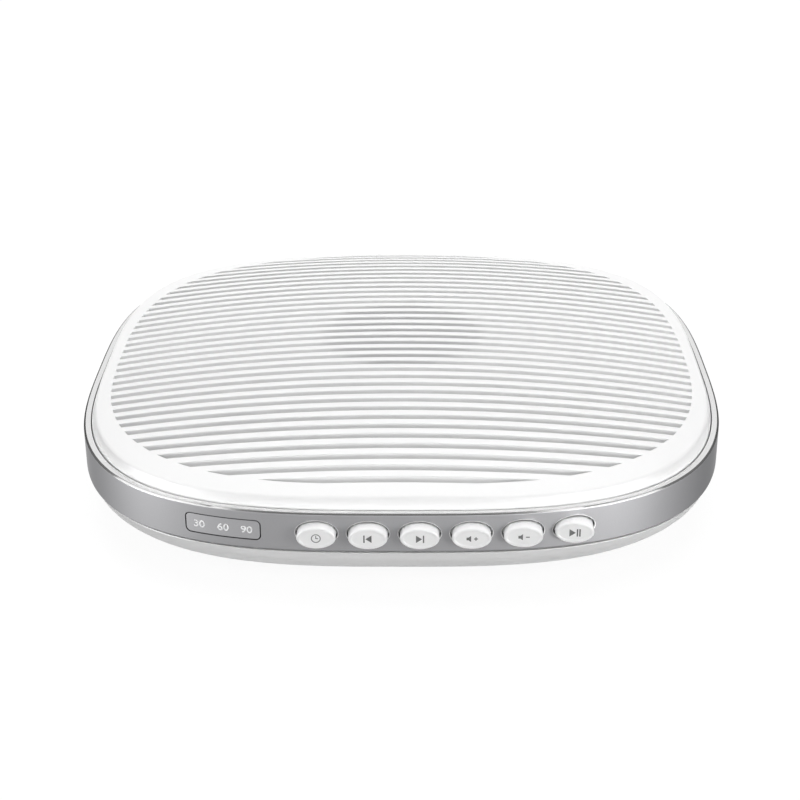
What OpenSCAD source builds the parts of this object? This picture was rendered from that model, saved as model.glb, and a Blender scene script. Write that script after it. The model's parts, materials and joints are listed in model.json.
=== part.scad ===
/* [Body] */
// Width and depth of the body, measured over the trim band
body_w = 150; // [138:1:165]
// Squareness of the plan outline: 2 is a circle, higher is squarer
squareness = 3.1; // [2.9:0.1:3.4]
// Height of the silver trim band
band_h = 9.1; // [9:0.1:11]
// Width of the band's lip around the cover
lip_w = 1.7; // [1.5:0.1:2.1]
// Thickness of the flange inside the foot of the band
flange_t = 1.2; // [1:0.1:1.4]
// Height of the base housing below the band
base_h = 8.4; // [8:0.1:10]
// How far the underside is drawn in from the base's rim
base_taper = 7.5; // [5:0.5:8]
// How far the base's rim is set in from the band
rim_inset = 0.7; // [0.6:0.1:1.4]
// Wall thickness of the base housing
base_wall = 2; // [1.8:0.1:2.2]

/* [Cover] */
// Height of the cover's crown above the band
crown_h = 9; // [8.8:0.1:11]
// Drop of the dome from its crown to the left and right edges
side_drop = 6.9; // [6.2:0.1:7.1]
// Drop of the dome from its crown to the front and back edges
front_drop = 7.2; // [6.8:0.1:7.4]
// Share of the front drop that comes close to the edge
front_curl = 0.63; // [0.5:0.01:0.7]
// Rise that keeps the dome's corners level with its sides
corner_lift = 2; // [1.5:0.1:2.4]
// Wall thickness of the cover at its crown
cover_wall = 2.2; // [2:0.1:2.6]
// Open line between the cover and the band
cover_gap = 0.2; // [0.15:0.05:0.3]
// Inward lean of the cover's edge above the band
edge_draft = 0.75; // [0.5:0.05:1]
// Softened shoulder where the edge meets the dome
shoulder = 0.6; // [0.4:0.1:0.9]

/* [Grille] */
// Spacing of the grooves from front to back
groove_pitch = 3.82; // [3.6:0.02:4.2]
// Width of each groove
groove_w = 1.95; // [1.6:0.05:2.2]
// Thickness left under a blind groove
groove_floor = 0.9; // [0.9:0.1:1.3]
// Distance of the ribbed field from the left and right sides of the body
grille_side = 5.6; // [5.5:0.1:9]
// Distance of the ribbed field from the front and back of the body
grille_end = 6.5; // [6:0.1:10]
// Squareness of the ribbed field's outline
grille_squareness = 2.87; // [2.6:0.01:3]

/* [Buttons] */
// Width of each oval button
button_w = 8.2; // [7.6:0.1:8.8]
// Height of each oval button
button_h = 4.9; // [4.6:0.1:5.4]
// Spacing of the buttons
button_pitch = 10.8; // [10.6:0.1:11.2]
// How far the buttons stand out from the band
button_proud = 2.4; // [1.8:0.1:2.6]
// Travel of a button when pressed
button_travel = 0.5; // [0.3:0.05:0.6]
// Gap between a button and its hole in the band
button_gap = 0.3; // [0.25:0.05:0.35]
// Middle of the row of buttons, to the right of the centre line
row_x = 9.8; // [9:0.1:10.4]
// Height of the buttons' and window's centre below the top of the band
control_drop = 4.6; // [4.3:0.1:4.7]
// Diameter of the stem behind each button
stem_d = 3; // [2.6:0.1:3.2]

/* [Timer window] */
// Width of the timer window
window_w = 16.4; // [15:0.1:17]
// Height of the timer window
window_h = 4.8; // [4:0.1:4.9]
// Corner radius of the timer window
window_r = 1.2; // [0.6:0.1:1.4]
// Middle of the timer window, left of the centre line
window_x = -37.1; // [-38:0.1:-36.5]
// Dark line around the window
window_gap = 0.2; // [0.1:0.05:0.2]
// Distance of the outer timer lamps from the ends of the window
lamp_in = 3; // [2.6:0.1:3.4]

/* [Speaker] */
// Outer diameter of the speaker's rim
speaker_d = 40; // [39.5:0.5:42]
// Overall depth of the speaker
speaker_depth = 13; // [12.6:0.1:13.6]
// Height of the ring under the cover that the speaker seats on
seat_h = 4; // [3.6:0.1:4.4]
// Width of the speaker's rim that the gasket covers, outside the open grooves
rim_land = 1; // [0.8:0.1:1.3]
// Thickness of the foam gasket
gasket_t = 1; // [0.6:0.1:1.2]
// Diameter of the magnet
magnet_d = 24; // [20:0.5:25]
// Travel of the cone each way
cone_travel = 0.6; // [0.3:0.1:0.8]
// Distance of the speaker's screws outside its rim
screw_out = 3.6; // [3.4:0.1:5]
// Thickness of the dust cloth behind the open grooves
screen_t = 0.3; // [0.2:0.1:0.5]

/* [Boards] */
// Thickness of both circuit boards
board_t = 1.6; // [1.2:0.1:1.6]
// Room between the button board's posts and the base's wall
post_gap = 1.8; // [1.5:0.1:2.5]
// Height of the button board
button_board_h = 10.4; // [9.6:0.1:11]
// Width of the main board
main_w = 64; // [58:1:68]
// Depth of the main board, front to back
main_d = 33; // [30:0.5:34]
// Gap between the main board and the middle of the back
main_in = 7; // [6.5:0.5:9]
// Side of each push switch
switch_w = 6; // [5.6:0.1:6.4]
// Depth of each push switch's case
switch_t = 3.5; // [3.1:0.1:3.8]
// Diameter of a switch's plunger
plunger_d = 3.4; // [3:0.1:3.6]

/* [Power inlet] */
// Diameter of the inlet's round nose
inlet_d = 6; // [5.6:0.1:6.2]
// Diameter of the socket that takes the plug
socket_d = 3.6; // [3.5:0.1:3.8]
// Depth of the socket
socket_depth = 9; // [8:0.5:9.5]
// Diameter of the centre pin
pin_d = 1.3; // [1.1:0.1:1.4]
// How far the nose stands out from the band
inlet_proud = 0.6; // [0.4:0.1:0.9]

/* [Feet and screws] */
// Diameter of the rubber feet
foot_d = 12; // [11:0.5:13]
// Height of the feet below the base
foot_h = 2; // [1.8:0.1:2.4]
// Depth of the recess that holds each foot
foot_sunk = 1; // [0.8:0.1:1.1]
// Distance of feet and case screws in from the sides of the body
corner_in = 30; // [29:0.5:31]
// Shank diameter of the case screws
case_screw_d = 2.6; // [2.4:0.1:2.8]
// Shank diameter of the board and speaker screws
board_screw_d = 2; // [1.8:0.1:2.2]

/* [Hidden] */

OUTLINE_POINTS = 96;
OVAL_POINTS = 32;
DOME_RINGS = 5;
FINE = 64;
CUT = 1;           // how far a cutting shape runs past what it cuts
PRESS = 0.04;      // radial room around a shank or pin in its hole
SLIDE = 0.05;      // radial room around a sliding stem or plunger
FREE = 0.3;        // room between pieces that must not touch
FUSE = 0.5;        // how far a boss or root runs into what it grows from
TIP = 0.6;         // room past the tip of a screw
CORNER_STEPS = 4;
BUTTON_COUNT = 6;

half = body_w / 2;
z_base = foot_h;
z_rim = z_base + base_h;
z_lip = z_rim + band_h;
z_crown = z_lip + crown_h;
z_floor = z_base + base_wall;
z_skirt = z_rim + flange_t;
z_control = z_lip - control_drop;

rim_r = half - rim_inset;
cover_r = half - lip_w - cover_gap;
cover_in_r = cover_r - cover_wall;
vault_r = (half * half + side_drop * side_drop) / (2 * side_drop);
vault_reach = half * 1.25;
VAULT_STEPS = 14;
grille_w = body_w - 2 * grille_side;
grille_d = body_w - 2 * grille_end;
open_r = speaker_d / 2 - rim_land;
groove_count = 2 * floor((grille_d - groove_w) / 2 / groove_pitch + 0.5);
edge_chamfer = 0.35;
base_chamfer = 0.6;
notch_side = 2;
lintel_drop = 0.4;
seat_wall = 1.6;

flange_extra = 1.5;
flange_depth = 0.8;
plunger_proud = 1;
plunger_sunk = 1;
lens_flange = 0.8;
lens_t = 0.8;
face_round = 0.8;
face_inset = 0.75;
lens_sunk = 0.05;
lamp_pitch = window_w / 2 - lamp_in;
lamp_w = 2;
lamp_h = 1.2;
lamp_t = 0.8;
baffle_rib = 1;
baffle_wall = 0.6;
baffle_gap = 0.1;
guide_t = 1.5;
guide_leg = 2;
guide_ahead = 4;
guide_half_h = 3.6;
board_edge = 1.2;
board_left = window_x - window_w / 2 - board_edge;
board_right = row_x + BUTTON_COUNT / 2 * button_pitch + guide_leg / 2 + board_edge;
slot_grip = 0.9;
post_wall = 1.5;
post_w = slot_grip + post_wall;
post_rise = 7.1;
post_reach = max(-board_left, board_right) + post_wall;
floor_share = base_wall / base_h;
y_board = front_at(post_reach, base_r(floor_share) - base_wall) + post_gap + post_wall;
y_plunger = y_board - switch_t - plunger_proud;
board_above = 4.2;
z_board = z_control + board_above - button_board_h;
guide_front = y_plunger - guide_ahead;

z_seat = z_crown - cover_wall - seat_h;
z_speaker = z_seat - gasket_t;
rim_t = 0.8;
rim_w = 2.8;
roll_w = 1.6;
roll_over = 0.2;
throat_r = speaker_d / 2 - rim_w;
surround_t = 0.35;
surround_lip = 1.3;
cone_r = throat_r - roll_w;
cone_t = 0.5;
cap_h = 2;
CAP_STEPS = 6;
neck_r = 6.6;
cone_depth = 4.5;
coil_r = 6.5;
coil_t = 0.3;
coil_bottom = 9.6;
spider_drop = 5.5;
spider_t = 0.4;
spider_ledge = 1;
ridge_h = 0.9;
ridge_w = 1;
basket_drop = 6.2;
basket_r = 13.2;
basket_hole = 0.6;
slot_w = 8;
slot_low = 0.9;
slot_high = 0.5;
plate_t = 1.5;
gap_r = 6.95;
pole_r = 5.9;
magnet_bore_r = 7.8;
steel_in = 0.6;
plate_drop = basket_drop + rim_t;
magnet_drop = plate_drop + plate_t;
yoke_drop = speaker_depth - plate_t;
speaker_screw_r = speaker_d / 2 + screw_out;
ear_r = 3.4;
ear_edge = 0.4;
screw_head_r = 2.3;
screw_head_t = 1.4;
speaker_screw_l = 5;
strip_w = 10;
strip_h = 4;
strip_t = 0.8;
strip_gap = 0.1;

z_inlet = z_rim + band_h / 2;
inlet_axis_h = 3;
inlet_w = 6.5;
z_main = z_inlet - inlet_axis_h - board_t;
z_main_top = z_main + board_t;
y_main_back = half - main_in;
y_main_front = y_main_back - main_d;
standoff_r = 3;
standoff_in = 4;
standoff_back = 8;
main_hole_x = main_w / 2 - standoff_in;
y_holes = [y_main_front + standoff_in, y_main_back - standoff_back];
board_screw_l = 5.5;
inlet_l = 9;
inlet_fit = 0.15;
inlet_room = 0.4;
pin_back = 1;
inlet_shoulder = cover_in_r - FREE;
inlet_back = inlet_shoulder - inlet_l;

boss_h = 4;
z_split = z_floor + boss_h;
base_boss_r = 4.8;
cover_boss_r = 3.6;
head_r = case_screw_d;
head_t = 1.7;
head_recess = 2.3;
z_head = z_base + foot_sunk + head_recess;
case_screw_l = 13;
foot_gap = 0.2;
foot_chamfer = 0.8;
corner_x = half - corner_in;
corners = [for (sx = [-1, 1]) for (sy = [-1, 1]) [sx * corner_x, sy * corner_x]];

y_main_mid = (y_main_front + y_main_back) / 2;
// Each chip's middle, measured from the board's middle, then its width and depth
chips = [[-9, 1, 10, 5.2], [4.5, 7, 5, 4], [-9, -8, 5, 4]];
chip_t = 1.5;
can_r = 3;
can_h = 7;
can_pitch = 8;
can_in = 9;
socket_in = 0.6;
socket_wall = 1.5;
socket_l = 4;
socket_t = 3;
upright_h = 3.4;
lead_socket = [6, 5, 4.5];

ribbon_w = 8;
ribbon_t = 0.5;
ribbon_x = -12;
ribbon_turn = 2.5;
lead_r = 0.6;
lead_x = 19;
lead_spread = 1.4;
lead_h = 2.4;
tag_x = 2.5;
// Where each lead leaves its tag, dips and reaches its socket, as steps from its ends and its middle
lead_out = [0, 1.8, 0];
lead_dip = [3.2, 5.4, -1.6];
lead_mid = [1, 2, -1];
lead_near = [-1.8, -2.6, 0.4];
lead_in = [0, -1.2, 0];

// ---- outlines and surfaces ----

function squircle(r, n, t) = let(c = abs(cos(t)), s = abs(sin(t)))
    r / pow(pow(c, n) + pow(s, n), 1 / n) * [cos(t), sin(t)];
function outline(r, n = squareness) =
    [for (i = [0 : OUTLINE_POINTS - 1]) squircle(r, n, i * 360 / OUTLINE_POINTS)];
function dome_z(x, y) = let(u = x / half, v = y / half)
    z_crown - side_drop * u * u - front_drop * ((1 - front_curl) * v * v + front_curl * pow(v, 4))
    + corner_lift * u * u * v * v;
function oval(w, h) =
    [for (i = [0 : OVAL_POINTS - 1]) let(t = i * 360 / OVAL_POINTS) [w / 2 * cos(t), h / 2 * sin(t)]];
function rounded(w, h, r) = [for (q = [0 : 3]) for (i = [0 : CORNER_STEPS])
    let(t = q * 90 + i * 90 / CORNER_STEPS, sx = (q == 0 || q == 3) ? 1 : -1, sy = q < 2 ? 1 : -1)
    [sx * (w / 2 - r) + r * cos(t), sy * (h / 2 - r) + r * sin(t)]];
// Distance of an outline of half-size r in front of the centre, at a given x
function front_at(x, r) = -r * pow(1 - pow(abs(x) / r, squareness), 1 / squareness);

// The faces between two rings of n points, for rings that are listed anticlockwise from above
function walls(n, low, high) = [for (i = [0 : n - 1]) let(j = (i + 1) % n)
    each [[high * n + j, low * n + j, low * n + i], [high * n + i, high * n + j, low * n + i]]];

// A solid skinned over a stack of rings. It ends in a flat lid, or in a fan to a peak where one is given.
module loft(rings, peak = []) {
    n = len(rings[0]);
    top = len(rings) - 1;
    points = concat([for (ring = rings) each ring], peak);
    sides = [for (k = [0 : top - 1]) each walls(n, k, k + 1)];
    foot = [[for (i = [0 : n - 1]) i]];
    lid = [[for (i = [n - 1 : -1 : 0]) top * n + i]];
    fan = [for (i = [0 : n - 1]) [top * n + (i + 1) % n, top * n + i, (top + 1) * n]];
    polyhedron(points, concat(sides, foot, len(peak) == 0 ? lid : fan));
}

// A solid hoop, skinned over rings that go up the outside, across, and down the inside
module hoop(rings) {
    n = len(rings[0]);
    count = len(rings);
    polyhedron([for (ring = rings) each ring], [for (k = [0 : count - 1]) each walls(n, k, (k + 1) % count)]);
}
function level(points, z) = [for (p = points) [p[0], p[1], z]];
function on_dome(points, down = 0) = [for (p = points) [p[0], p[1], dome_z(p[0], p[1]) - down]];

module prism(points, low, high) translate([0, 0, low]) linear_extrude(high - low) polygon(points);
// The same, standing on the XZ plane and reaching from y0 back to y1
module prism_y(points, y0, y1) translate([0, y1, 0]) rotate([90, 0, 0])
    linear_extrude(y1 - y0) polygon(points);
module rod_y(r, y0, y1) translate([0, y1, 0]) rotate([90, 0, 0]) cylinder(r = r, h = y1 - y0, $fn = FINE);
module tube(r_out, r_in, low, high) difference() {
    translate([0, 0, low]) cylinder(r = r_out, h = high - low, $fn = FINE);
    translate([0, 0, low - CUT]) cylinder(r = r_in, h = high - low + 2 * CUT, $fn = FINE);
}
module at_corners() for (c = corners) translate([c[0], c[1], 0]) children();
module at_speaker_screws() for (a = [45 : 90 : 315])
    rotate([0, 0, a]) translate([speaker_screw_r, 0, 0]) children();
module at_board_screws(z) for (sx = [-1, 1]) for (y = y_holes) translate([sx * main_hole_x, y, z]) children();
module post(r, h) cylinder(r = r, h = h, $fn = FINE);

// ---- cover, band and base ----

// A shallow vault under the crown: everything below a round cap, lowered by a depth
module vault(down) {
    arc = [for (i = [0 : VAULT_STEPS]) let(r = vault_reach * i / VAULT_STEPS)
        [r, z_crown - down - vault_r + sqrt(vault_r * vault_r - r * r)]];
    rotate_extrude($fn = 128) polygon(concat([[vault_reach, 0], [0, 0]], arc));
}

module cover_skin() {
    top_r = cover_r - edge_draft;
    dome = [for (k = [DOME_RINGS : -1 : 1]) on_dome(outline((top_r - shoulder) * k / DOME_RINGS))];
    loft(concat([level(outline(cover_r), z_skirt), level(outline(cover_r), z_lip),
        on_dome(outline(top_r), shoulder)], dome), [[0, 0, z_crown]]);
}

module groove_field() intersection() {
    for (i = [0 : groove_count - 1])
        translate([-half, (i - (groove_count - 1) / 2) * groove_pitch - groove_w / 2, z_skirt])
            cube([body_w, groove_w, z_crown - z_skirt + CUT]);
    scale_y = grille_d / grille_w;
    field = [for (p = outline(grille_w / 2, grille_squareness)) [p[0], p[1] * scale_y]];
    prism(field, z_skirt - CUT, z_crown + 2 * CUT);
}

// What stands under the crown: the case bosses, the speaker's bosses and the ring that it seats on
module cover_mounts() intersection() {
    union() {
        at_corners() translate([0, 0, z_split]) post(cover_boss_r, z_crown - z_split);
        at_speaker_screws() translate([0, 0, z_speaker]) post(ear_r - ear_edge, z_crown - z_speaker);
        tube(speaker_d / 2 + seat_wall, open_r, z_seat, z_crown);
    }
    vault(cover_wall - FUSE);
}

// The openings in the cover's wall: a wide one behind the controls, and a slot round the inlet
module cover_notches() {
    left = window_x - window_w / 2 - notch_side;
    right = button_x(BUTTON_COUNT - 1) + button_w / 2 + notch_side;
    slot_r = inlet_d / 2 + inlet_room;
    translate([left, -half, z_rim - CUT])
        cube([right - left, half + y_board, z_lip - z_rim - lintel_drop + CUT]);
    translate([0, 0, z_inlet]) rod_y(slot_r, cover_in_r - CUT, half);
    translate([-slot_r, cover_in_r - CUT, z_rim])
        cube([2 * slot_r, half - cover_in_r + CUT, z_inlet - z_rim]);
}

module top_cover() color("white") {
    case_pilot = z_head - head_t + case_screw_l - z_split + TIP;
    speaker_pilot = speaker_screw_l - rim_t - screw_head_t + TIP;
    difference() {
        union() {
            difference() {
                cover_skin();
                intersection() {
                    prism(outline(cover_in_r), 0, z_crown);
                    vault(cover_wall);
                }
            }
            cover_mounts();
        }
        difference() {
            groove_field();
            vault(cover_wall - groove_floor);
        }
        intersection() {
            groove_field();
            translate([0, 0, z_seat]) post(open_r, crown_h);
        }
        cover_notches();
        at_corners() translate([0, 0, z_split - CUT]) post(case_screw_d / 2 + PRESS, CUT + case_pilot);
        at_speaker_screws() translate([0, 0, z_speaker - CUT])
            post(board_screw_d / 2 + PRESS, CUT + speaker_pilot);
    }
}

module button_holes() for (i = [0 : BUTTON_COUNT - 1]) translate([button_x(i), 0, z_control])
    prism_y(oval(button_w + 2 * button_gap, button_h + 2 * button_gap), -half - CUT, y_board);

module trim_band() color("silver") difference() {
    hoop([level(outline(half - edge_chamfer), z_rim), level(outline(half), z_rim + edge_chamfer),
        level(outline(half), z_lip - edge_chamfer), level(outline(half - edge_chamfer), z_lip),
        level(outline(half - lip_w), z_lip), level(outline(half - lip_w), z_skirt),
        level(outline(cover_in_r), z_skirt), level(outline(cover_in_r), z_rim)]);
    button_holes();
    translate([window_x, 0, z_control]) prism_y(rounded(window_w, window_h, window_r), -half - CUT, y_board);
    translate([0, 0, z_inlet]) rod_y(inlet_d / 2 + inlet_fit, cover_in_r - CUT, half + CUT);
}

function base_r(h) = rim_r - base_taper * pow(1 - h, 2);
function base_level(h, inset, z) = level(outline(base_r(h) - inset), z);

module base_shell() difference() {
    loft(concat([base_level(0, base_chamfer, z_base)],
        [for (h = [base_chamfer / base_h, 0.3, 0.55, 0.8, 1]) base_level(h, 0, z_base + base_h * h)]));
    loft([for (h = [floor_share, 0.5, 0.8, 1.1]) base_level(h, base_wall, z_base + base_h * h)]);
}

// Two slotted posts that hold the ends of the button board
module board_posts() difference() {
    foot_z = z_base + base_wall / 2;
    for (x = [board_left - post_wall, board_right - slot_grip]) translate([x, y_board - post_wall, foot_z])
        cube([post_w, board_t + 2 * post_wall, z_board + post_rise - foot_z]);
    translate([board_left - SLIDE, y_board - SLIDE, z_board])
        cube([board_right - board_left + 2 * SLIDE, board_t + 2 * SLIDE, button_board_h + CUT]);
}

module base_housing() color("whitesmoke") difference() {
    union() {
        base_shell();
        at_corners() translate([0, 0, z_base]) post(base_boss_r, z_split - z_base);
        at_board_screws(z_base + base_wall / 2) post(standoff_r, z_main - z_base - base_wall / 2);
        board_posts();
    }
    at_corners() translate([0, 0, z_base - CUT]) {
        post(foot_d / 2 + foot_gap, foot_sunk + CUT);
        post(head_r + FREE, z_head - z_base + CUT);
        post(case_screw_d / 2 + FREE, z_split - z_base + 2 * CUT);
    }
    at_board_screws(z_floor) post(board_screw_d / 2 + PRESS, z_main - z_floor + CUT);
}

module timer_window() color("darkgray") {
    hole = rounded(window_w - 2 * window_gap, window_h - 2 * window_gap, window_r - window_gap);
    back = rounded(window_w + 2 * lens_flange, window_h + 2 * lens_flange, window_r + lens_flange);
    intersection() {
        prism(outline(half - lens_sunk), z_rim, z_lip);
        union() {
            difference() {
                translate([window_x, 0, z_control]) prism_y(hole, -half, y_board);
                prism(outline(half - lip_w - lens_t), z_rim - CUT, z_lip + CUT);
            }
            difference() {
                intersection() {
                    translate([window_x, 0, z_control]) prism_y(back, -half, y_board);
                    prism(outline(half - lip_w), z_rim, z_lip);
                }
                prism(outline(half - lip_w - lens_t), z_rim - CUT, z_lip + CUT);
            }
        }
    }
}

// ---- buttons and switches ----

function button_x(i) = row_x + (i - (BUTTON_COUNT - 1) / 2) * button_pitch;
function button_front(i) = front_at(button_x(i), half) - button_proud;
function flange_front(i) = front_at(abs(button_x(i)) + (button_w + flange_extra) / 2, half - lip_w) + FREE;

module button(i) color("white") translate([button_x(i), 0, z_control]) {
    y0 = button_front(i);
    y1 = flange_front(i);
    edge = [for (t = [0, 45, 90]) let(inset = face_inset * (1 - cos(t)))
        level(oval(button_w - 2 * inset, button_h - 2 * inset), -face_round * (1 - sin(t)))];
    root = level(oval(button_w, button_h), y0 - y1 - flange_depth / 2);
    translate([0, y0, 0]) rotate([90, 0, 0]) loft(concat([root], edge));
    prism_y(oval(button_w + flange_extra, button_h), y1, y1 + flange_depth);
    rod_y(stem_d / 2, y1 + flange_depth / 2, y_plunger);
}

module plunger(i) color("dimgray") translate([button_x(i), 0, z_control])
    rod_y(plunger_d / 2, y_plunger, y_plunger + plunger_proud + plunger_sunk);

module switch_cases() color("black") for (i = [0 : BUTTON_COUNT - 1]) translate([button_x(i), 0, z_control]) {
    front = y_board - switch_t;
    difference() {
        translate([-switch_w / 2, front, -switch_w / 2]) cube([switch_w, switch_t, switch_w]);
        rod_y(plunger_d / 2 + SLIDE, front - CUT, front + plunger_sunk + button_travel + FREE);
    }
}

module button_board() color("darkgreen")
    translate([board_left, y_board, z_board]) cube([board_right - board_left, board_t, button_board_h]);

// A comb that stands on the board between the switches and guides the stems
module button_guide() color("white") difference() {
    union() {
        left = button_x(0) - (button_pitch + guide_leg) / 2;
        right = button_x(BUTTON_COUNT - 1) + (button_pitch + guide_leg) / 2;
        foot = z_control - guide_half_h;
        translate([left, guide_front, foot]) cube([right - left, guide_t, 2 * guide_half_h]);
        for (i = [0 : BUTTON_COUNT]) translate([left + i * button_pitch, guide_front, foot])
            cube([guide_leg, y_board - guide_front, 2 * guide_half_h]);
    }
    for (i = [0 : BUTTON_COUNT - 1]) translate([button_x(i), 0, z_control])
        rod_y(stem_d / 2 + SLIDE, guide_front - CUT, guide_front + guide_t + CUT);
}

module timer_lamps() color("lightyellow") for (i = [-1 : 1])
    translate([window_x + i * lamp_pitch - lamp_w / 2, y_board - lamp_t, z_control - lamp_h / 2])
        cube([lamp_w, lamp_t, lamp_h]);

module light_baffle() color("black") difference() {
    intersection() {
        translate([window_x - window_w / 2, -half, z_control - window_h / 2])
            cube([window_w, half + y_board, window_h]);
        prism(outline(half - lip_w - lens_t - baffle_gap), z_rim, z_lip);
    }
    cell_w = lamp_pitch - baffle_rib;
    cell_h = window_h - 2 * baffle_wall;
    for (i = [-1 : 1]) translate([window_x + i * lamp_pitch - cell_w / 2, -half, z_control - cell_h / 2])
        cube([cell_w, half + y_board + CUT, cell_h]);
}

// ---- speaker ----

module turned(points) rotate_extrude($fn = FINE) polygon(points);
function below(d) = z_speaker - d;

module speaker_basket() color("darkslategray") difference() {
    union() {
        turned([[throat_r, below(rim_t)], [speaker_d / 2, below(rim_t)], [speaker_d / 2, below(0)],
            [throat_r, below(0)]]);
        turned([[throat_r, below(rim_t)], [throat_r + rim_t, below(rim_t)],
            [basket_r + rim_t, below(spider_drop)], [basket_r + rim_t, below(plate_drop)],
            [gap_r + basket_hole, below(plate_drop)], [gap_r + basket_hole, below(basket_drop)],
            [basket_r - spider_ledge, below(basket_drop)], [basket_r - spider_ledge, below(spider_drop)],
            [basket_r, below(spider_drop)]]);
        at_speaker_screws() translate([0, 0, below(rim_t)]) {
            root = screw_out + FUSE;
            post(ear_r, rim_t);
            translate([-root, -ear_r, 0]) cube([root, 2 * ear_r, rim_t]);
        }
    }
    at_speaker_screws() translate([0, 0, below(rim_t) - CUT]) post(board_screw_d / 2 + FREE, rim_t + 2 * CUT);
    for (a = [0 : 90 : 270]) rotate([0, 0, a]) translate([0, -slot_w / 2, below(spider_drop - slot_low)])
        cube([speaker_d, slot_w, spider_drop - slot_low - slot_high - rim_t]);
}

// A round of cloth, bonded to the underside of the ribs over the speaker
module dust_screen() color("lightgray") difference() {
    intersection() {
        translate([0, 0, z_seat]) post(open_r - SLIDE, crown_h);
        vault(cover_wall);
    }
    vault(cover_wall + screen_t);
}

module speaker_gasket() color("gray") tube(speaker_d / 2, open_r, z_speaker, z_seat);

module speaker_surround() color("black") {
    roll_r = (roll_w - surround_t) / 2 + roll_over;
    mid = (throat_r + cone_r) / 2;
    tube(open_r - SLIDE, mid + roll_r - surround_t / 2, z_speaker, z_speaker + surround_t);
    tube(mid - roll_r + surround_t / 2, cone_r - surround_lip, z_speaker, z_speaker + surround_t);
    rotate_extrude($fn = FINE) translate([mid, z_speaker]) intersection() {
        difference() {
            circle(r = roll_r, $fn = FINE);
            circle(r = roll_r - surround_t, $fn = FINE);
        }
        translate([-roll_r, 0]) square([2 * roll_r, roll_r]);
    }
}

module speaker_cone() color("dimgray") {
    edge_r = cone_r - SLIDE;
    lip_r = cone_r - surround_lip;
    turned([[neck_r, below(cone_depth)], [neck_r + cone_t, below(cone_depth)], [lip_r + cone_t, below(cone_t)],
        [edge_r, below(cone_t)], [edge_r, below(0)], [lip_r, below(0)]]);
}

module dust_cap() color("black") {
    cap_r = (neck_r * neck_r + cap_h * cap_h) / (2 * cap_h);
    arc = [for (i = [0 : CAP_STEPS]) let(r = neck_r * (1 - i / CAP_STEPS))
        [r, below(cone_depth) + sqrt(cap_r * cap_r - r * r) - cap_r + cap_h]];
    turned(concat([[0, below(cone_depth) + cap_h - cone_t], [neck_r - 2 * cone_t, below(cone_depth)]], arc));
}

module voice_coil() color("peru") tube(coil_r, coil_r - coil_t, below(coil_bottom), below(cone_depth));

// A thin disc with two raised rings
module speaker_spider() color("goldenrod") {
    foot = below(spider_drop);
    ridges = [for (i = [1, 2]) coil_r + (basket_r - spider_ledge - coil_r) * i / 3];
    difference() {
        union() {
            tube(basket_r - SLIDE, coil_r + SLIDE, foot, foot + spider_t);
            for (r = ridges) tube(r + ridge_w / 2, r - ridge_w / 2, foot, foot + ridge_h);
        }
        for (r = ridges) tube(r + ridge_w / 5, r - ridge_w / 5, foot - CUT, foot + ridge_h - spider_t);
    }
}

module top_plate() color("silver")
    tube(magnet_d / 2 - steel_in, gap_r, below(magnet_drop), below(plate_drop));

module speaker_magnet() color("darkgray")
    tube(magnet_d / 2, magnet_bore_r, below(yoke_drop), below(magnet_drop));

module magnet_yoke() color("silver") translate([0, 0, below(speaker_depth)]) {
    post(magnet_d / 2 - steel_in, plate_t);
    post(pole_r, speaker_depth - plate_drop);
}

// A tag board that hangs from the basket's rim at the back
module terminal_strip() color("saddlebrown")
    translate([-strip_w / 2, throat_r + rim_t + strip_gap, below(rim_t + strip_h)])
        cube([strip_w, strip_t, strip_h]);

// A round-headed screw, head down, whose head starts at z = 0
module screw(head, thick, shank, long) {
    post(head, thick);
    post(shank / 2, long);
}

module speaker_screws() color("silver") at_speaker_screws() translate([0, 0, below(rim_t) - screw_head_t])
    screw(screw_head_r, screw_head_t, board_screw_d, speaker_screw_l);

// ---- boards, wiring and inlet ----

module main_board() color("darkgreen") difference() {
    translate([-main_w / 2, y_main_front, z_main]) cube([main_w, main_d, board_t]);
    at_board_screws(z_main - CUT) post(board_screw_d / 2 + FREE, board_t + 2 * CUT);
}

module board_chips() color("black") for (c = chips)
    translate([c[0] - c[2] / 2, y_main_mid + c[1] - c[3] / 2, z_main_top]) cube([c[2], c[3], chip_t]);

module board_capacitors() color("midnightblue") for (i = [-1 / 2, 1 / 2])
    translate([-main_w / 2 + can_in, y_main_mid + i * can_pitch, z_main_top]) post(can_r, can_h);

module board_sockets() color("ivory") {
    wide = ribbon_w + 2 * socket_wall;
    left = ribbon_x - wide / 2;
    translate([left, y_board + board_t, z_board + socket_in]) cube([wide, socket_t, upright_h]);
    translate([left, y_main_front + socket_in, z_main_top]) cube([wide, socket_l, socket_t]);
    translate([lead_x - lead_socket[0] / 2, y_main_front + socket_in, z_main_top]) cube(lead_socket);
}

module main_board_screws() color("silver") at_board_screws(z_main_top + screw_head_t) mirror([0, 0, 1])
    screw(screw_head_r, screw_head_t, board_screw_d, board_screw_l + screw_head_t);

// A flat cable from the button board, along the floor and up to the main board
module ribbon_cable() color("lightgray") {
    t = ribbon_turn;
    from = [y_board + board_t + socket_t, z_board + socket_in + upright_h / 2 - ribbon_t / 2];
    to = [y_main_front + socket_in, z_main_top + socket_t / 2 - ribbon_t / 2];
    low = z_floor + SLIDE;
    path = [from, from + [t, -t / 6], [from[0] + 2.4 * t, low + t / 2], [from[0] + 4 * t, low],
        [to[0] - 4.4 * t, low], [to[0] - 2.8 * t, low + 0.6 * t], to - [t, t / 4], to];
    back = [for (i = [len(path) - 1 : -1 : 0]) path[i] + [0, ribbon_t]];
    translate([ribbon_x - ribbon_w / 2, 0, 0]) rotate([90, 0, 90])
        linear_extrude(ribbon_w) polygon(concat(path, back));
}

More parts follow.
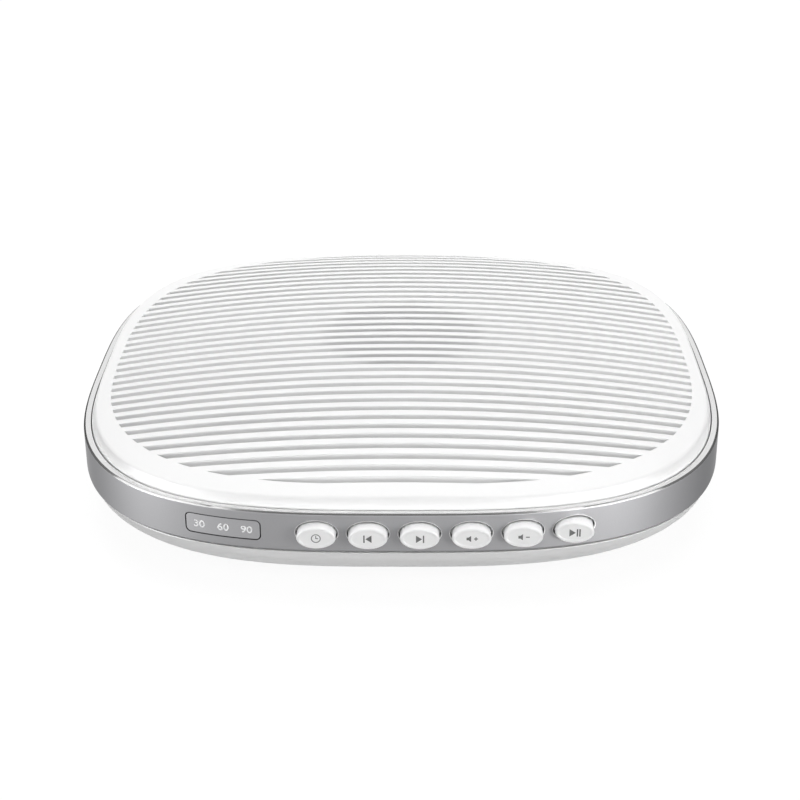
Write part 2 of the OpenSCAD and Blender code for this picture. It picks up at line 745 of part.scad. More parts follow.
// Round wire through a list of points, with eight sides
module wire(path, r) {
    n = len(path);
    ring = [for (i = [0 : n - 1])
        let(a = path[max(i - 1, 0)], b = path[min(i + 1, n - 1)], t = (b - a) / norm(b - a),
            side = cross(t, [0, 0, 1]) / norm(cross(t, [0, 0, 1])), up = cross(side, t))
        [for (k = [0 : 7]) path[i] + r * (cos(k * 45) * side + sin(k * 45) * up)]];
    loft([for (i = [n - 1 : -1 : 0]) ring[i]]);
}

module speaker_leads() color("firebrick") for (s = [-1, 1]) {
    start = [s * tag_x, throat_r + rim_t + strip_gap + strip_t, below(rim_t + strip_h * 3 / 4)];
    finish = [lead_x + s * lead_spread, y_main_front + socket_in, z_main_top + lead_h];
    apart = s * lead_r * [0, 1, 0];
    wire([start, start + lead_out, start + lead_dip - apart, (start + finish) / 2 + lead_mid - 2 * apart,
        finish + lead_near + s * lead_r * [1 / 3, -2 / 3, 0], finish + lead_in, finish], lead_r);
}

module inlet_body() color("black") difference() {
    tip = half + inlet_proud;
    union() {
        translate([-inlet_w / 2, inlet_back, z_main_top]) cube([inlet_w, inlet_l, 2 * inlet_axis_h]);
        translate([0, 0, z_inlet]) rod_y(inlet_d / 2, inlet_shoulder - FUSE, tip);
    }
    translate([0, 0, z_inlet]) rod_y(socket_d / 2, tip - socket_depth, tip + CUT);
}

module inlet_pin() color("gold") translate([0, 0, z_inlet])
    rod_y(pin_d / 2, half + inlet_proud - socket_depth, half + inlet_proud - pin_back);

// ---- feet and screws ----

module rubber_feet() color("dimgray") at_corners() turned([[0, 0], [foot_d / 2 - foot_chamfer, 0],
    [foot_d / 2, foot_chamfer], [foot_d / 2, z_base + foot_sunk], [0, z_base + foot_sunk]]);

module case_screws() color("silver") at_corners() translate([0, 0, z_head - head_t])
    screw(head_r, head_t, case_screw_d, case_screw_l);

top_cover();
trim_band();
base_housing();
timer_window();
button(0);  // timer_button
button(1);  // previous_button
button(2);  // next_button
button(3);  // volume_up_button
button(4);  // volume_down_button
button(5);  // play_button
plunger(0);  // timer_plunger
plunger(1);  // previous_plunger
plunger(2);  // next_plunger
plunger(3);  // volume_up_plunger
plunger(4);  // volume_down_plunger
plunger(5);  // play_plunger
switch_cases();
button_board();
button_guide();
timer_lamps();
light_baffle();
dust_screen();
speaker_basket();
speaker_gasket();
speaker_surround();
speaker_cone();
dust_cap();
voice_coil();
speaker_spider();
top_plate();
speaker_magnet();
magnet_yoke();
terminal_strip();
speaker_screws();
speaker_leads();
main_board();
board_chips();
board_capacitors();
board_sockets();
main_board_screws();
ribbon_cable();
inlet_body();
inlet_pin();
rubber_feet();
case_screws();
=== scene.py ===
import json
import math

import bmesh
import bpy
from bpy.props import FloatProperty, FloatVectorProperty, IntProperty, PointerProperty
from bpy.types import Operator, Panel, PropertyGroup
from mathutils import Matrix, Vector


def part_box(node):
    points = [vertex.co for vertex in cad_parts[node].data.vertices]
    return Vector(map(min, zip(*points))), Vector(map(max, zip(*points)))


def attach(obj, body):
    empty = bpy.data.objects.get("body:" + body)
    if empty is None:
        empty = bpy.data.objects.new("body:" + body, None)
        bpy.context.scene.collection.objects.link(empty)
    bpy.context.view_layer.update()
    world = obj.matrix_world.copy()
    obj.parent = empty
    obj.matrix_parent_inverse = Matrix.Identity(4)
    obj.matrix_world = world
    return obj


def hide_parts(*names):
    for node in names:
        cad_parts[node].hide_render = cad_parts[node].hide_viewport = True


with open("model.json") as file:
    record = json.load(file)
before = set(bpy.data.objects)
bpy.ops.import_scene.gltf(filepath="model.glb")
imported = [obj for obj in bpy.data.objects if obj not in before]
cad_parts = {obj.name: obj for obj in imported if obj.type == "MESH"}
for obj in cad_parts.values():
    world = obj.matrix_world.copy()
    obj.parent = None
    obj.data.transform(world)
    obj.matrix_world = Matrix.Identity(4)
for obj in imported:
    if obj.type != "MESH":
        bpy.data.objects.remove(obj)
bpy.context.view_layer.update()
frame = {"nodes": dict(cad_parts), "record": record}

bl_info = {
    "name": "Sound machine",
    "version": (1, 0, 0),
    "blender": (4, 5, 0),
    "location": "3D View > Sidebar > Sound machine",
    "description": "Dresses a low, rounded-square sound machine with a ribbed cover",
    "category": "Object",
}

MM = 0.001
NEAR = 0.01 * MM

BUTTONS = ("timer", "previous", "next", "volume_up", "volume_down", "play")


def middle(node):
    """Centre of a CAD node's box."""
    low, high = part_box(node)
    return (low + high) / 2


BAND_LOW, BAND_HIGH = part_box("trim_band")
HALF = BAND_HIGH.x
CROWN_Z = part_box("top_cover")[1].z
KEY_LOW, KEY_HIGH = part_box("timer_button")
LENS_FLANGE = 0.8 * MM
KEY_FLANGE = 0.75 * MM
PRINT_THICK = 0.03 * MM
FOOT_R = 6 * MM
NOSE_R = 3 * MM


# ---- sizes and colours that a user would change ----

def kind_of(prop, **settings):
    """A kind of property, made later from a name, a description and a default."""
    def made(name, description, default):
        return prop(name=name, description=description, default=default, **settings)
    return made


count = kind_of(IntProperty)
amount = kind_of(FloatProperty)
length = kind_of(FloatProperty, unit="LENGTH", subtype="DISTANCE")
share = kind_of(FloatProperty, min=0.0, max=1.0, subtype="FACTOR")
angle = kind_of(FloatProperty, unit="ROTATION", subtype="ANGLE")
power = kind_of(FloatProperty, unit="POWER")
location = kind_of(FloatVectorProperty, size=3, unit="LENGTH", subtype="TRANSLATION")
colour = kind_of(FloatVectorProperty, size=3, min=0.0, max=1.0, subtype="COLOR")


class OutlineSizes(PropertyGroup):
    squareness: amount("Squareness", "Exponent of the plan outline", 3.1)
    steps: count("Steps", "Points round each outline", 384)
    lip: length("Lip", "Width of the band's lip", 1.7 * MM)
    gap: length("Parting gap", "Open line between cover and band", 0.12 * MM)
    chamfer: length("Chamfer", "Width of the chamfer along the band's edges", 0.38 * MM)
    flange: length("Flange", "Height of the flange inside the band's foot", 1.2 * MM)
    rim_inset: length("Rim inset", "Set-in of the base's rim under the band", 0.7 * MM)
    taper: length("Base taper", "How far the underside is drawn in", 7.5 * MM)
    base_wall: length("Base wall", "Wall thickness of the base", 2 * MM)
    base_edge: length("Base edge", "Rounding of the base's lower edge", 0.6 * MM)
    slit: length("Slit", "Height of the dark line under the band", 0.55 * MM)
    slit_depth: length("Slit depth", "Depth of the dark line under the band", 0.8 * MM)


class CoverSizes(PropertyGroup):
    side_drop: length("Side drop", "Drop of the dome to its left and right edges", 6.9 * MM)
    front_drop: length("Front drop", "Drop of the dome to its front and back edges", 7.2 * MM)
    front_curl: share("Front curl", "Share of the front drop close to the edge", 0.63)
    corner_lift: length("Corner lift", "Rise that keeps the corners level with the sides", 2 * MM)
    draft: length("Edge draft", "Inward lean of the cover's edge", 0.75 * MM)
    shoulder: length("Shoulder", "Radius where the edge meets the dome", 0.7 * MM)
    wall: length("Wall", "Thickness of the cover at its crown", 2.2 * MM)
    floor: length("Groove floor", "Thickness under a blind groove", 0.9 * MM)
    pitch: length("Groove pitch", "Spacing of the grooves", 3.82 * MM)
    groove: length("Groove width", "Width of each groove", 1.9 * MM)
    field_w: length("Field width", "Width of the ribbed field", 138.6 * MM)
    field_d: length("Field depth", "Depth of the ribbed field", 136.4 * MM)
    field_squareness: amount("Field squareness", "Exponent of the ribbed field's outline", 2.8)
    open_r: length("Open radius", "Radius over the speaker inside which grooves are open", 19 * MM)
    rim: length("Groove rim", "Rounding of each groove's rim", 0.14 * MM)
    columns: count("Columns", "Columns of the grid that the ribbed field is made from", 64)


class ButtonSizes(PropertyGroup):
    width: length("Width", "Width of each oval button", KEY_HIGH.x - KEY_LOW.x - 2 * KEY_FLANGE)
    height: length("Height", "Height of each oval button", KEY_HIGH.z - KEY_LOW.z)
    gap: length("Gap", "Gap between a button and its hole", 0.3 * MM)
    hole_edge: length("Hole edge", "Width of the rounded edge of each hole", 0.28 * MM)
    rim: length("Rim", "Width of the raised rim round the face", 0.7 * MM)
    rim_round: length("Rim rounding", "Radius of the rim's outer edge", 0.4 * MM)
    face_sunk: length("Face depth", "Depth of the face below its rim", 0.14 * MM)
    mark: length("Mark height", "Height of the printed marks", 1.75 * MM)


class WindowSizes(PropertyGroup):
    corner: length("Corner", "Radius of the corners of the window's hole", 1.2 * MM)
    line: length("Line", "Dark line between the lens and the band", 0.26 * MM)
    sunk: length("Depth", "Depth of the lens below the band's surface", 0.05 * MM)
    type_size: length("Type size", "Size of the type of the numbers", 2.3 * MM)
    widening: amount("Widening", "Stretch of the numbers along the band", 1.12)


class Colours(PropertyGroup):
    white: colour("White plastic", "Cover and buttons", (0.86, 0.86, 0.86))
    # Painted shade: darker than the cover's white, for the base's place under the band.
    base: colour("Base plastic", "Base housing", (0.72, 0.72, 0.72))
    silver: colour("Silver paint", "Trim band", (0.205, 0.205, 0.21))
    # Painted light: the lip's top is lighter than the band's silver, to stand in for light on its up-facing
    # top.
    lip: colour("Lip", "Top of the band's lip", (0.73, 0.73, 0.73))
    # Painted dark reflection: the lip's outer edge is much darker than the band's silver. Lamps still add
    # real highlights to it.
    edge: colour("Edge", "Polished outer edge of the band's lip", (0.15, 0.15, 0.15))
    # Painted reflection: the hole rims are lighter than the band's silver, to stand in for the white buttons
    # mirrored in them.
    rim: colour("Hole rims", "Rounded edges of the buttons' holes", (0.6, 0.6, 0.6))
    window: colour("Window", "Timer window", (0.2, 0.2, 0.205))
    print: colour("Print", "Marks on the buttons", (0.1, 0.1, 0.1))


class StageSizes(PropertyGroup):
    lens: amount("Lens", "Focal length of the camera on a 36 mm sensor", 76.29)
    camera: location("Camera", "Place of the camera", (4.34 * MM, -382.73 * MM, 191.84 * MM))
    yaw: angle("Yaw", "Turn of the camera about Z", math.radians(0.728))
    pitch: angle("Pitch", "Tilt of the camera from straight down", math.radians(64.618))
    roll: angle("Roll", "Turn of the camera about its view", math.radians(-0.307))
    floor: share("Floor", "Brightness of the floor where it is seen", 0.93)
    floor_shade: share("Floor shade", "Share of the lamps' light that the seen floor shows", 0.1)
    ambient: share("Ambient", "Brightness of the room on dull surfaces", 0.33)
    top_power: power("Top light", "Power of the overhead light", 8.5)
    top_place: location("Top light's place", "Place of the overhead light", (0, 0.3, 0.9))
    front_power: power("Front light", "Power of the low front light", 4.1)
    front_place: location("Front light's place", "Place of the low front light", (0.2, -0.9, 0.1))
    panel_power: power("Low panels", "Power of each low reflector panel", 25)
    card_power: power("High panels", "Power of each high reflector panel", 5.2)
    panel_reach: length("Panel distance", "Distance of the reflector panels", 0.8)
    left_turn: angle("Left panel", "Direction of the left low panel", math.radians(204))
    right_turn: angle("Right panel", "Direction of the right low panel", math.radians(-45))
    back_turn: angle("Backward turn", "How much further back the high panels stand", math.radians(9))


# ---- working in edit mode ----

def deselect():
    """Back to object mode with nothing selected."""
    if bpy.context.object and bpy.context.object.mode != "OBJECT":
        bpy.ops.object.mode_set(mode="OBJECT")
    bpy.ops.object.select_all(action="DESELECT")


def activate(piece):
    deselect()
    piece.select_set(True)
    bpy.context.view_layer.objects.active = piece
    return piece


def edit(piece, mode="VERT"):
    """Opens a piece in edit mode."""
    activate(piece)
    bpy.ops.object.mode_set(mode="EDIT")
    bpy.ops.mesh.select_mode(type=mode)


def edit_all(piece, mode="VERT"):
    """Opens a piece in edit mode with all of it selected."""
    edit(piece, mode)
    bpy.ops.mesh.select_all(action="SELECT")


def choose(piece, kind, test):
    """In edit mode, selects the verts, edges or faces that pass a test, and nothing else."""
    bpy.ops.mesh.select_all(action="DESELECT")
    mesh = bmesh.from_edit_mesh(piece.data)
    for part in getattr(mesh, kind):
        if test(part):
            part.select_set(True)
    mesh.select_flush_mode()
    bmesh.update_edit_mesh(piece.data)


def choose_open(piece, test=lambda co: True):
    """In edit mode, selects the open edges whose two ends pass a test."""
    choose(piece, "edges", lambda edge: edge.is_boundary and all(test(vert.co) for vert in edge.verts))


def reshape(piece, rule):
    """In edit mode, moves each selected vertex to where a rule puts it."""
    mesh = bmesh.from_edit_mesh(piece.data)
    for vert in mesh.verts:
        if vert.select:
            vert.co = rule(vert.co)
    bmesh.update_edit_mesh(piece.data)


def close_edit():
    bpy.ops.object.mode_set(mode="OBJECT")


def outward(piece):
    """Joins doubles and turns every face outwards."""
    edit_all(piece)
    bpy.ops.mesh.remove_doubles(threshold=0.001 * MM)
    bpy.ops.mesh.normals_make_consistent()
    close_edit()
    return piece


def settle(piece):
    """Applies the object's transform, so that its place is in its mesh."""
    activate(piece)
    bpy.ops.object.transform_apply()
    return piece


def apply_modifier(piece, kind, **settings):
    activate(piece)
    modifier = piece.modifiers.new(kind.title(), kind)
    for key, value in settings.items():
        setattr(modifier, key, value)
    bpy.ops.object.modifier_apply(modifier=modifier.name)


def combine(piece, operation, *tools):
    """Adds tools to a piece, cuts them from it or keeps what both hold, and deletes them."""
    for tool in tools:
        apply_modifier(piece, "BOOLEAN", operation=operation, solver="EXACT", object=tool)
        bpy.data.objects.remove(tool)


def join(main, *others):
    activate(main)
    for piece in others:
        piece.select_set(True)
    bpy.ops.object.join()
    return main


def smooth(piece, degrees=35):
    activate(piece)
    bpy.ops.object.shade_smooth_by_angle(angle=math.radians(degrees))
    apply_modifier(piece, "WEIGHTED_NORMAL", keep_sharp=True)
    return piece


def named(name):
    piece = bpy.context.object
    piece.name = name
    piece.data.name = name
    return piece


def paint(piece, *materials):
    piece.data.materials.clear()
    for material in materials:
        piece.data.materials.append(material)
    return piece


# ---- outlines ----

def squircle(r, n, t):
    """Point at polar angle t on a superellipse of half-size r and exponent n."""
    c, s = math.cos(t), math.sin(t)
    reach = r / (abs(c) ** n + abs(s) ** n) ** (1 / n)
    return Vector((reach * c, reach * s, 0))


def front_of(x, r):
    """How far in front of the centre the part's outline of half-size r lies at x."""
    n = bpy.context.scene.sm_outline.squareness
    return -r * (1 - (abs(x) / r) ** n) ** (1 / n)


def follow_front(piece, r, side=-1):
    """Bends a piece so that its Y counts from the outline's front, or from its back where side is 1."""
    edit_all(piece)
    reshape(piece, lambda co: Vector((co.x, -side * (front_of(co.x, r) + co.y), co.z)))
    close_edit()
    return outward(piece)


def skin(name, steps, radius, rules, ends=()):
    """Skins rings of points, each of which a rule moves from the ring before. The open ends at the heights
    given are filled. Without heights, the last ring is joined to the first."""
    bpy.ops.mesh.primitive_circle_add(vertices=steps, radius=radius)
    piece = named(name)
    edit_all(piece, "EDGE")
    for i, rule in enumerate(rules):
        if i:
            bpy.ops.mesh.extrude_edges_move()
        reshape(piece, rule)
    for height in ends:
        choose_open(piece, lambda co: abs(co.z - height) < NEAR)
        bpy.ops.mesh.edge_face_add()
    if not ends:
        choose_open(piece)
        bpy.ops.mesh.bridge_edge_loops()
    close_edit()
    return piece


def hoop(name, rings, steps, n, filled=False):
    """A solid over superellipse rings round Z, given as half-size and height."""
    def ring_rule(r, z):
        return lambda co: squircle(r, n, math.atan2(co.y, co.x)) + Vector((0, 0, z))
    ends = (rings[0][1], rings[-1][1]) if filled else ()
    return outward(skin(name, steps, rings[0][0], [ring_rule(*ring) for ring in rings], ends))


def bar(name, rings, front, steps=96, filled=True):
    """A solid over oval rings along Y, given as half-width, half-height and depth behind a front point."""
    def ring_rule(before, ring):
        grow_x, grow_y = ring[0] / before[0], ring[1] / before[1]
        return lambda co: Vector((co.x * grow_x, co.y * grow_y, -ring[2]))
    rules = [ring_rule(before, ring) for before, ring in zip([(1, 1)] + rings, rings)]
    piece = skin(name, steps, 1, rules, (-rings[0][2], -rings[-1][2]) if filled else ())
    piece.matrix_world = Matrix.Translation(front) @ Matrix.Rotation(math.pi / 2, 4, "X")
    return outward(settle(piece))


def block(name, centre, size):
    bpy.ops.mesh.primitive_cube_add(size=1)
    piece = named(name)
    piece.matrix_world = Matrix.Translation(centre) @ Matrix.Diagonal((*size, 1))
    return settle(piece)


def arc(r, z, radius, start, end, steps=4):
    """Profile points on a quarter round about (r, z), from one angle to another in degrees."""
    angles = [math.radians(start + (end - start) * i / steps) for i in range(steps + 1)]
    return [(r + radius * math.cos(a), z + radius * math.sin(a)) for a in angles]


# ---- materials ----

def new_material(name):
    material = bpy.data.materials.new(name)
    material.use_nodes = True
    nodes = material.node_tree.nodes
    return material, nodes, material.node_tree.links, nodes["Principled BSDF"]


def fill(node, **sockets):
    """Sets values in a node's sockets, whose names have _ for each space."""
    for socket, setting in sockets.items():
        node.inputs[socket.replace("_", " ")].default_value = setting
    return node


def add_node(nodes, kind, **sockets):
    return fill(nodes.new("ShaderNode" + kind), **sockets)


def grey(level):
    return (level, level, level, 1)


def grained(name, tint, roughness, grain=0.08, size=500, bump=0.0, bump_size=2000, **sockets):
    """A finish whose colour varies softly by a share, grain, with fine bumps of a height in millimetres."""
    material, nodes, links, shader = new_material(name)
    fill(shader, Roughness=roughness, **sockets)
    spot = add_node(nodes, "TexCoord").outputs["Object"]
    patches = add_node(nodes, "TexNoise", Scale=size, Detail=3)
    ramp = add_node(nodes, "ValToRGB")
    for element, factor in zip(ramp.color_ramp.elements, (1 - grain, 1 + grain)):
        element.color = [min(1, c * factor) for c in tint] + [1]
    links.new(spot, patches.inputs["Vector"])
    links.new(patches.outputs["Fac"], ramp.inputs["Fac"])
    links.new(ramp.outputs["Color"], shader.inputs["Base Color"])
    if bump:
        texture = add_node(nodes, "TexNoise", Scale=bump_size, Detail=2)
        height = add_node(nodes, "Bump", Distance=bump * MM)
        links.new(spot, texture.inputs["Vector"])
        links.new(texture.outputs["Fac"], height.inputs["Height"])
        links.new(height.outputs["Normal"], shader.inputs["Normal"])
    return material


def look(tint, *values, **sockets):
    """The values of a finish. A tint given as a word is one of the user's colours."""
    return tint, values, sockets


# The outer finishes, and those of the inner pieces by the names of their slots.
FINISHES = {
    "white_plastic": look("white", 0.42, 0.008, 60, 0.004, 2500, Specular_IOR_Level=0.25),
    "silver_paint": look("silver", 0.4, 0.05, 4000, 0.003, 5000, Metallic=1.0, Specular_Tint=grey(0.35)),
    # A polished finish whose lighter colour is painted light on the lip's up-facing top.
    "silver_lip": look("lip", 0.16, 0.03, 3000, 0.002, 4000, Metallic=0.85),
    # Painted dark reflection on the lip's outer edge.
    "polished_edge": look("edge", 0.14, 0.03, 2500, Metallic=0.95, Specular_Tint=grey(0.3)),
    # Painted reflection of the white buttons on the rims of their holes.
    "silver_rim": look("rim", 0.5, 0.03, 3000, Metallic=1.0),
    # Painted shade: the base's white is darker than the cover's.
    "base_plastic": look("base", 0.42, 0.01, 80, 0.006, 2200),
    "window_plastic": look("window", 0.45, 0.04, 3000, Metallic=1.0, Specular_Tint=grey(0.35)),
    "grey_print": look("print", 0.5, 0.06, 3000),
    "white_print": look((0.95, 0.95, 0.95), 0.5, 0.02, 3000),
    "foot_rubber": look((0.05, 0.05, 0.05), 0.75, 0.12, 900, 0.01, 3000),
    "pin_brass": look((0.72, 0.58, 0.32), 0.25, 0.05, 900, Metallic=1.0),
    "black_plastic": look((0.025, 0.025, 0.025), 0.45, 0.1, 600, 0.01, 2500),
    "lamp_plastic": look((0.85, 0.85, 0.75), 0.2, 0.02, Transmission_Weight=0.3),
    "circuit_board": look((0.02, 0.17, 0.07), 0.35, 0.15, 400, 0.01),
    "basket_steel": look((0.03, 0.03, 0.033), 0.4, 0.1, bump=0.01),
    "screen_cloth": look((0.5, 0.5, 0.51), 0.9, 0.18, 4000, 0.05, 3500),
    "foam": look((0.06, 0.06, 0.06), 0.95, 0.3, 1500, 0.08),
    "surround_rubber": look((0.025, 0.025, 0.025), 0.6, 0.1, bump=0.01),
    "cone_paper": look((0.05, 0.05, 0.05), 0.85, 0.2, 900, 0.04),
    "copper": look((0.7, 0.32, 0.16), 0.3, 0.1, 3000, 0.02, Metallic=1.0),
    "spider_cloth": look((0.55, 0.38, 0.15), 0.9, 0.15, 2000, 0.05),
    "plated_steel": look((0.62, 0.62, 0.64), 0.28, 0.06, 800, 0.005, Metallic=1.0),
    "ferrite": look((0.06, 0.06, 0.065), 0.5, 0.2, 900, 0.02),
    "tag_board": look((0.26, 0.14, 0.06), 0.6, 0.12, 900, 0.02),
    "screw_steel": look((0.6, 0.6, 0.62), 0.3, 0.08, 900, 0.005, Metallic=1.0),
    "lead_sleeve": look((0.45, 0.03, 0.02), 0.4, 0.05, bump=0.01),
    "capacitor_can": look((0.04, 0.05, 0.11), 0.3, 0.08, bump=0.005),
    "socket_plastic": look((0.8, 0.78, 0.68), 0.4, 0.03),
    "ribbon_sleeve": look((0.42, 0.42, 0.43), 0.4, 0.08, bump=0.01),
}

MADE = {}


def finish(name):
    """The material of that name, made once."""
    if name not in MADE:
        tint, values, sockets = FINISHES[name]
        if isinstance(tint, str):
            tint = getattr(bpy.context.scene.sm_colours, tint)
        MADE[name] = grained(name, tint, *values, **sockets)
    return MADE[name]


# ---- pieces ----

# Sizes of the floor and the lights in metres. The panels' places are shares of their distance, out and up.
FLOOR_SIZE = 8
TOP_SIZE, FRONT_SIZE = (0.9, 0.9), (1.2, 0.2)
LOW_SIZE, HIGH_SIZE = (0.25, 0.3), (0.85, 0.35)
LOW_PLACE, HIGH_PLACE = (1, 0.2), (0.7, 0.72)


class SM_OT_stage(Operator):
    """Adds the floor, the lights, the room and the camera"""
    bl_idname = "sound_machine.stage"
    bl_label = "Stage"

    def execute(self, context):
        stage = context.scene.sm_stage
        self.camera(context, stage)
        self.room(context, stage)
        self.floor(stage)
        self.lights(stage)
        context.scene.view_settings.view_transform = "Standard"
        return {"FINISHED"}

    def camera(self, context, stage):
        deselect()
        bpy.ops.object.camera_add(location=stage.camera)
        camera = context.object
        camera.name = "camera"
        turn = (Matrix.Rotation(stage.yaw, 4, "Z") @ Matrix.Rotation(stage.pitch, 4, "X")
                @ Matrix.Rotation(stage.roll, 4, "Z"))
        camera.matrix_world = Matrix.Translation(stage.camera) @ turn
        camera.data.lens = stage.lens
        camera.data.sensor_width = 36
        camera.data.clip_start = 0.01
        camera.data.clip_end = 50
        context.scene.camera = camera

    def room(self, context, stage):
        world = bpy.data.worlds.new("room")
        context.scene.world = world
        world.use_nodes = True
        nodes, links = world.node_tree.nodes, world.node_tree.links
        dull = fill(nodes["Background"], Color=grey(1), Strength=stage.ambient)
        white = add_node(nodes, "Background", Color=grey(1), Strength=1)
        mix_seen(nodes, links, dull.outputs["Background"], white.outputs["Background"], nodes["World Output"])

    def floor(self, stage):
        deselect()
        bpy.ops.mesh.primitive_plane_add(size=FLOOR_SIZE)
        floor = settle(named("floor"))
        material, nodes, links, shader = new_material("pale_floor")
        fill(shader, Base_Color=grey(0.5), Roughness=0.9, Specular_IOR_Level=0)
        lit = add_node(nodes, "BsdfDiffuse", Color=grey(stage.floor_shade))
        glow = add_node(nodes, "Emission", Color=grey(1), Strength=stage.floor)
        pale = add_node(nodes, "AddShader")
        links.new(lit.outputs["BSDF"], pale.inputs[0])
        links.new(glow.outputs["Emission"], pale.inputs[1])
        mix_seen(nodes, links, shader.outputs["BSDF"], pale.outputs["Shader"], nodes["Material Output"])
        paint(floor, material)

    def lights(self, stage):
        """A large light above, a low one in front, and panels at both sides that only show as reflections."""
        aim = Vector((0, 0, BAND_LOW.z))
        self.light("top_light", stage.top_place, aim, stage.top_power, TOP_SIZE)
        self.light("front_light", stage.front_place, aim, stage.front_power, FRONT_SIZE)
        for name, turn, back in (("left_panel", stage.left_turn, -stage.back_turn),
                                 ("right_panel", stage.right_turn, stage.back_turn)):
            low = self.around(turn, *LOW_PLACE) * stage.panel_reach
            self.light(name, low, Vector((0, 0, low.z)), stage.panel_power, LOW_SIZE, reflection_only=True)
            high = self.around(turn + back, *HIGH_PLACE) * stage.panel_reach
            self.light(name + "_high", high, aim, stage.card_power, HIGH_SIZE, reflection_only=True)

    def around(self, turn, out, up):
        return Vector((out * math.cos(turn), out * math.sin(turn), up))

    def light(self, name, spot, aim, watts, size, reflection_only=False):
        deselect()
        bpy.ops.object.light_add(type="AREA", location=spot)
        lamp = bpy.context.object
        lamp.name = name
        lamp.data.shape = "RECTANGLE"
        lamp.data.size, lamp.data.size_y = size
        lamp.data.energy = watts
        lamp.rotation_euler = (spot - aim).to_track_quat("Z", "Y").to_euler()
        lamp.visible_diffuse = not reflection_only


def mix_seen(nodes, links, dull, seen, output):
    """Sends out the seen shader on camera, glossy and transmission rays, and the dull one on the rest."""
    path = add_node(nodes, "LightPath")
    is_seen = path.outputs["Is Camera Ray"]
    for ray in ("Is Glossy Ray", "Is Transmission Ray"):
        either = add_node(nodes, "Math")
        either.operation = "MAXIMUM"
        links.new(is_seen, either.inputs[0])
        links.new(path.outputs[ray], either.inputs[1])
        is_seen = either.outputs[0]
    mix = add_node(nodes, "MixShader")
    links.new(is_seen, mix.inputs["Fac"])
    links.new(dull, mix.inputs[1])
    links.new(seen, mix.inputs[2])
    links.new(mix.outputs["Shader"], output.inputs["Surface"])


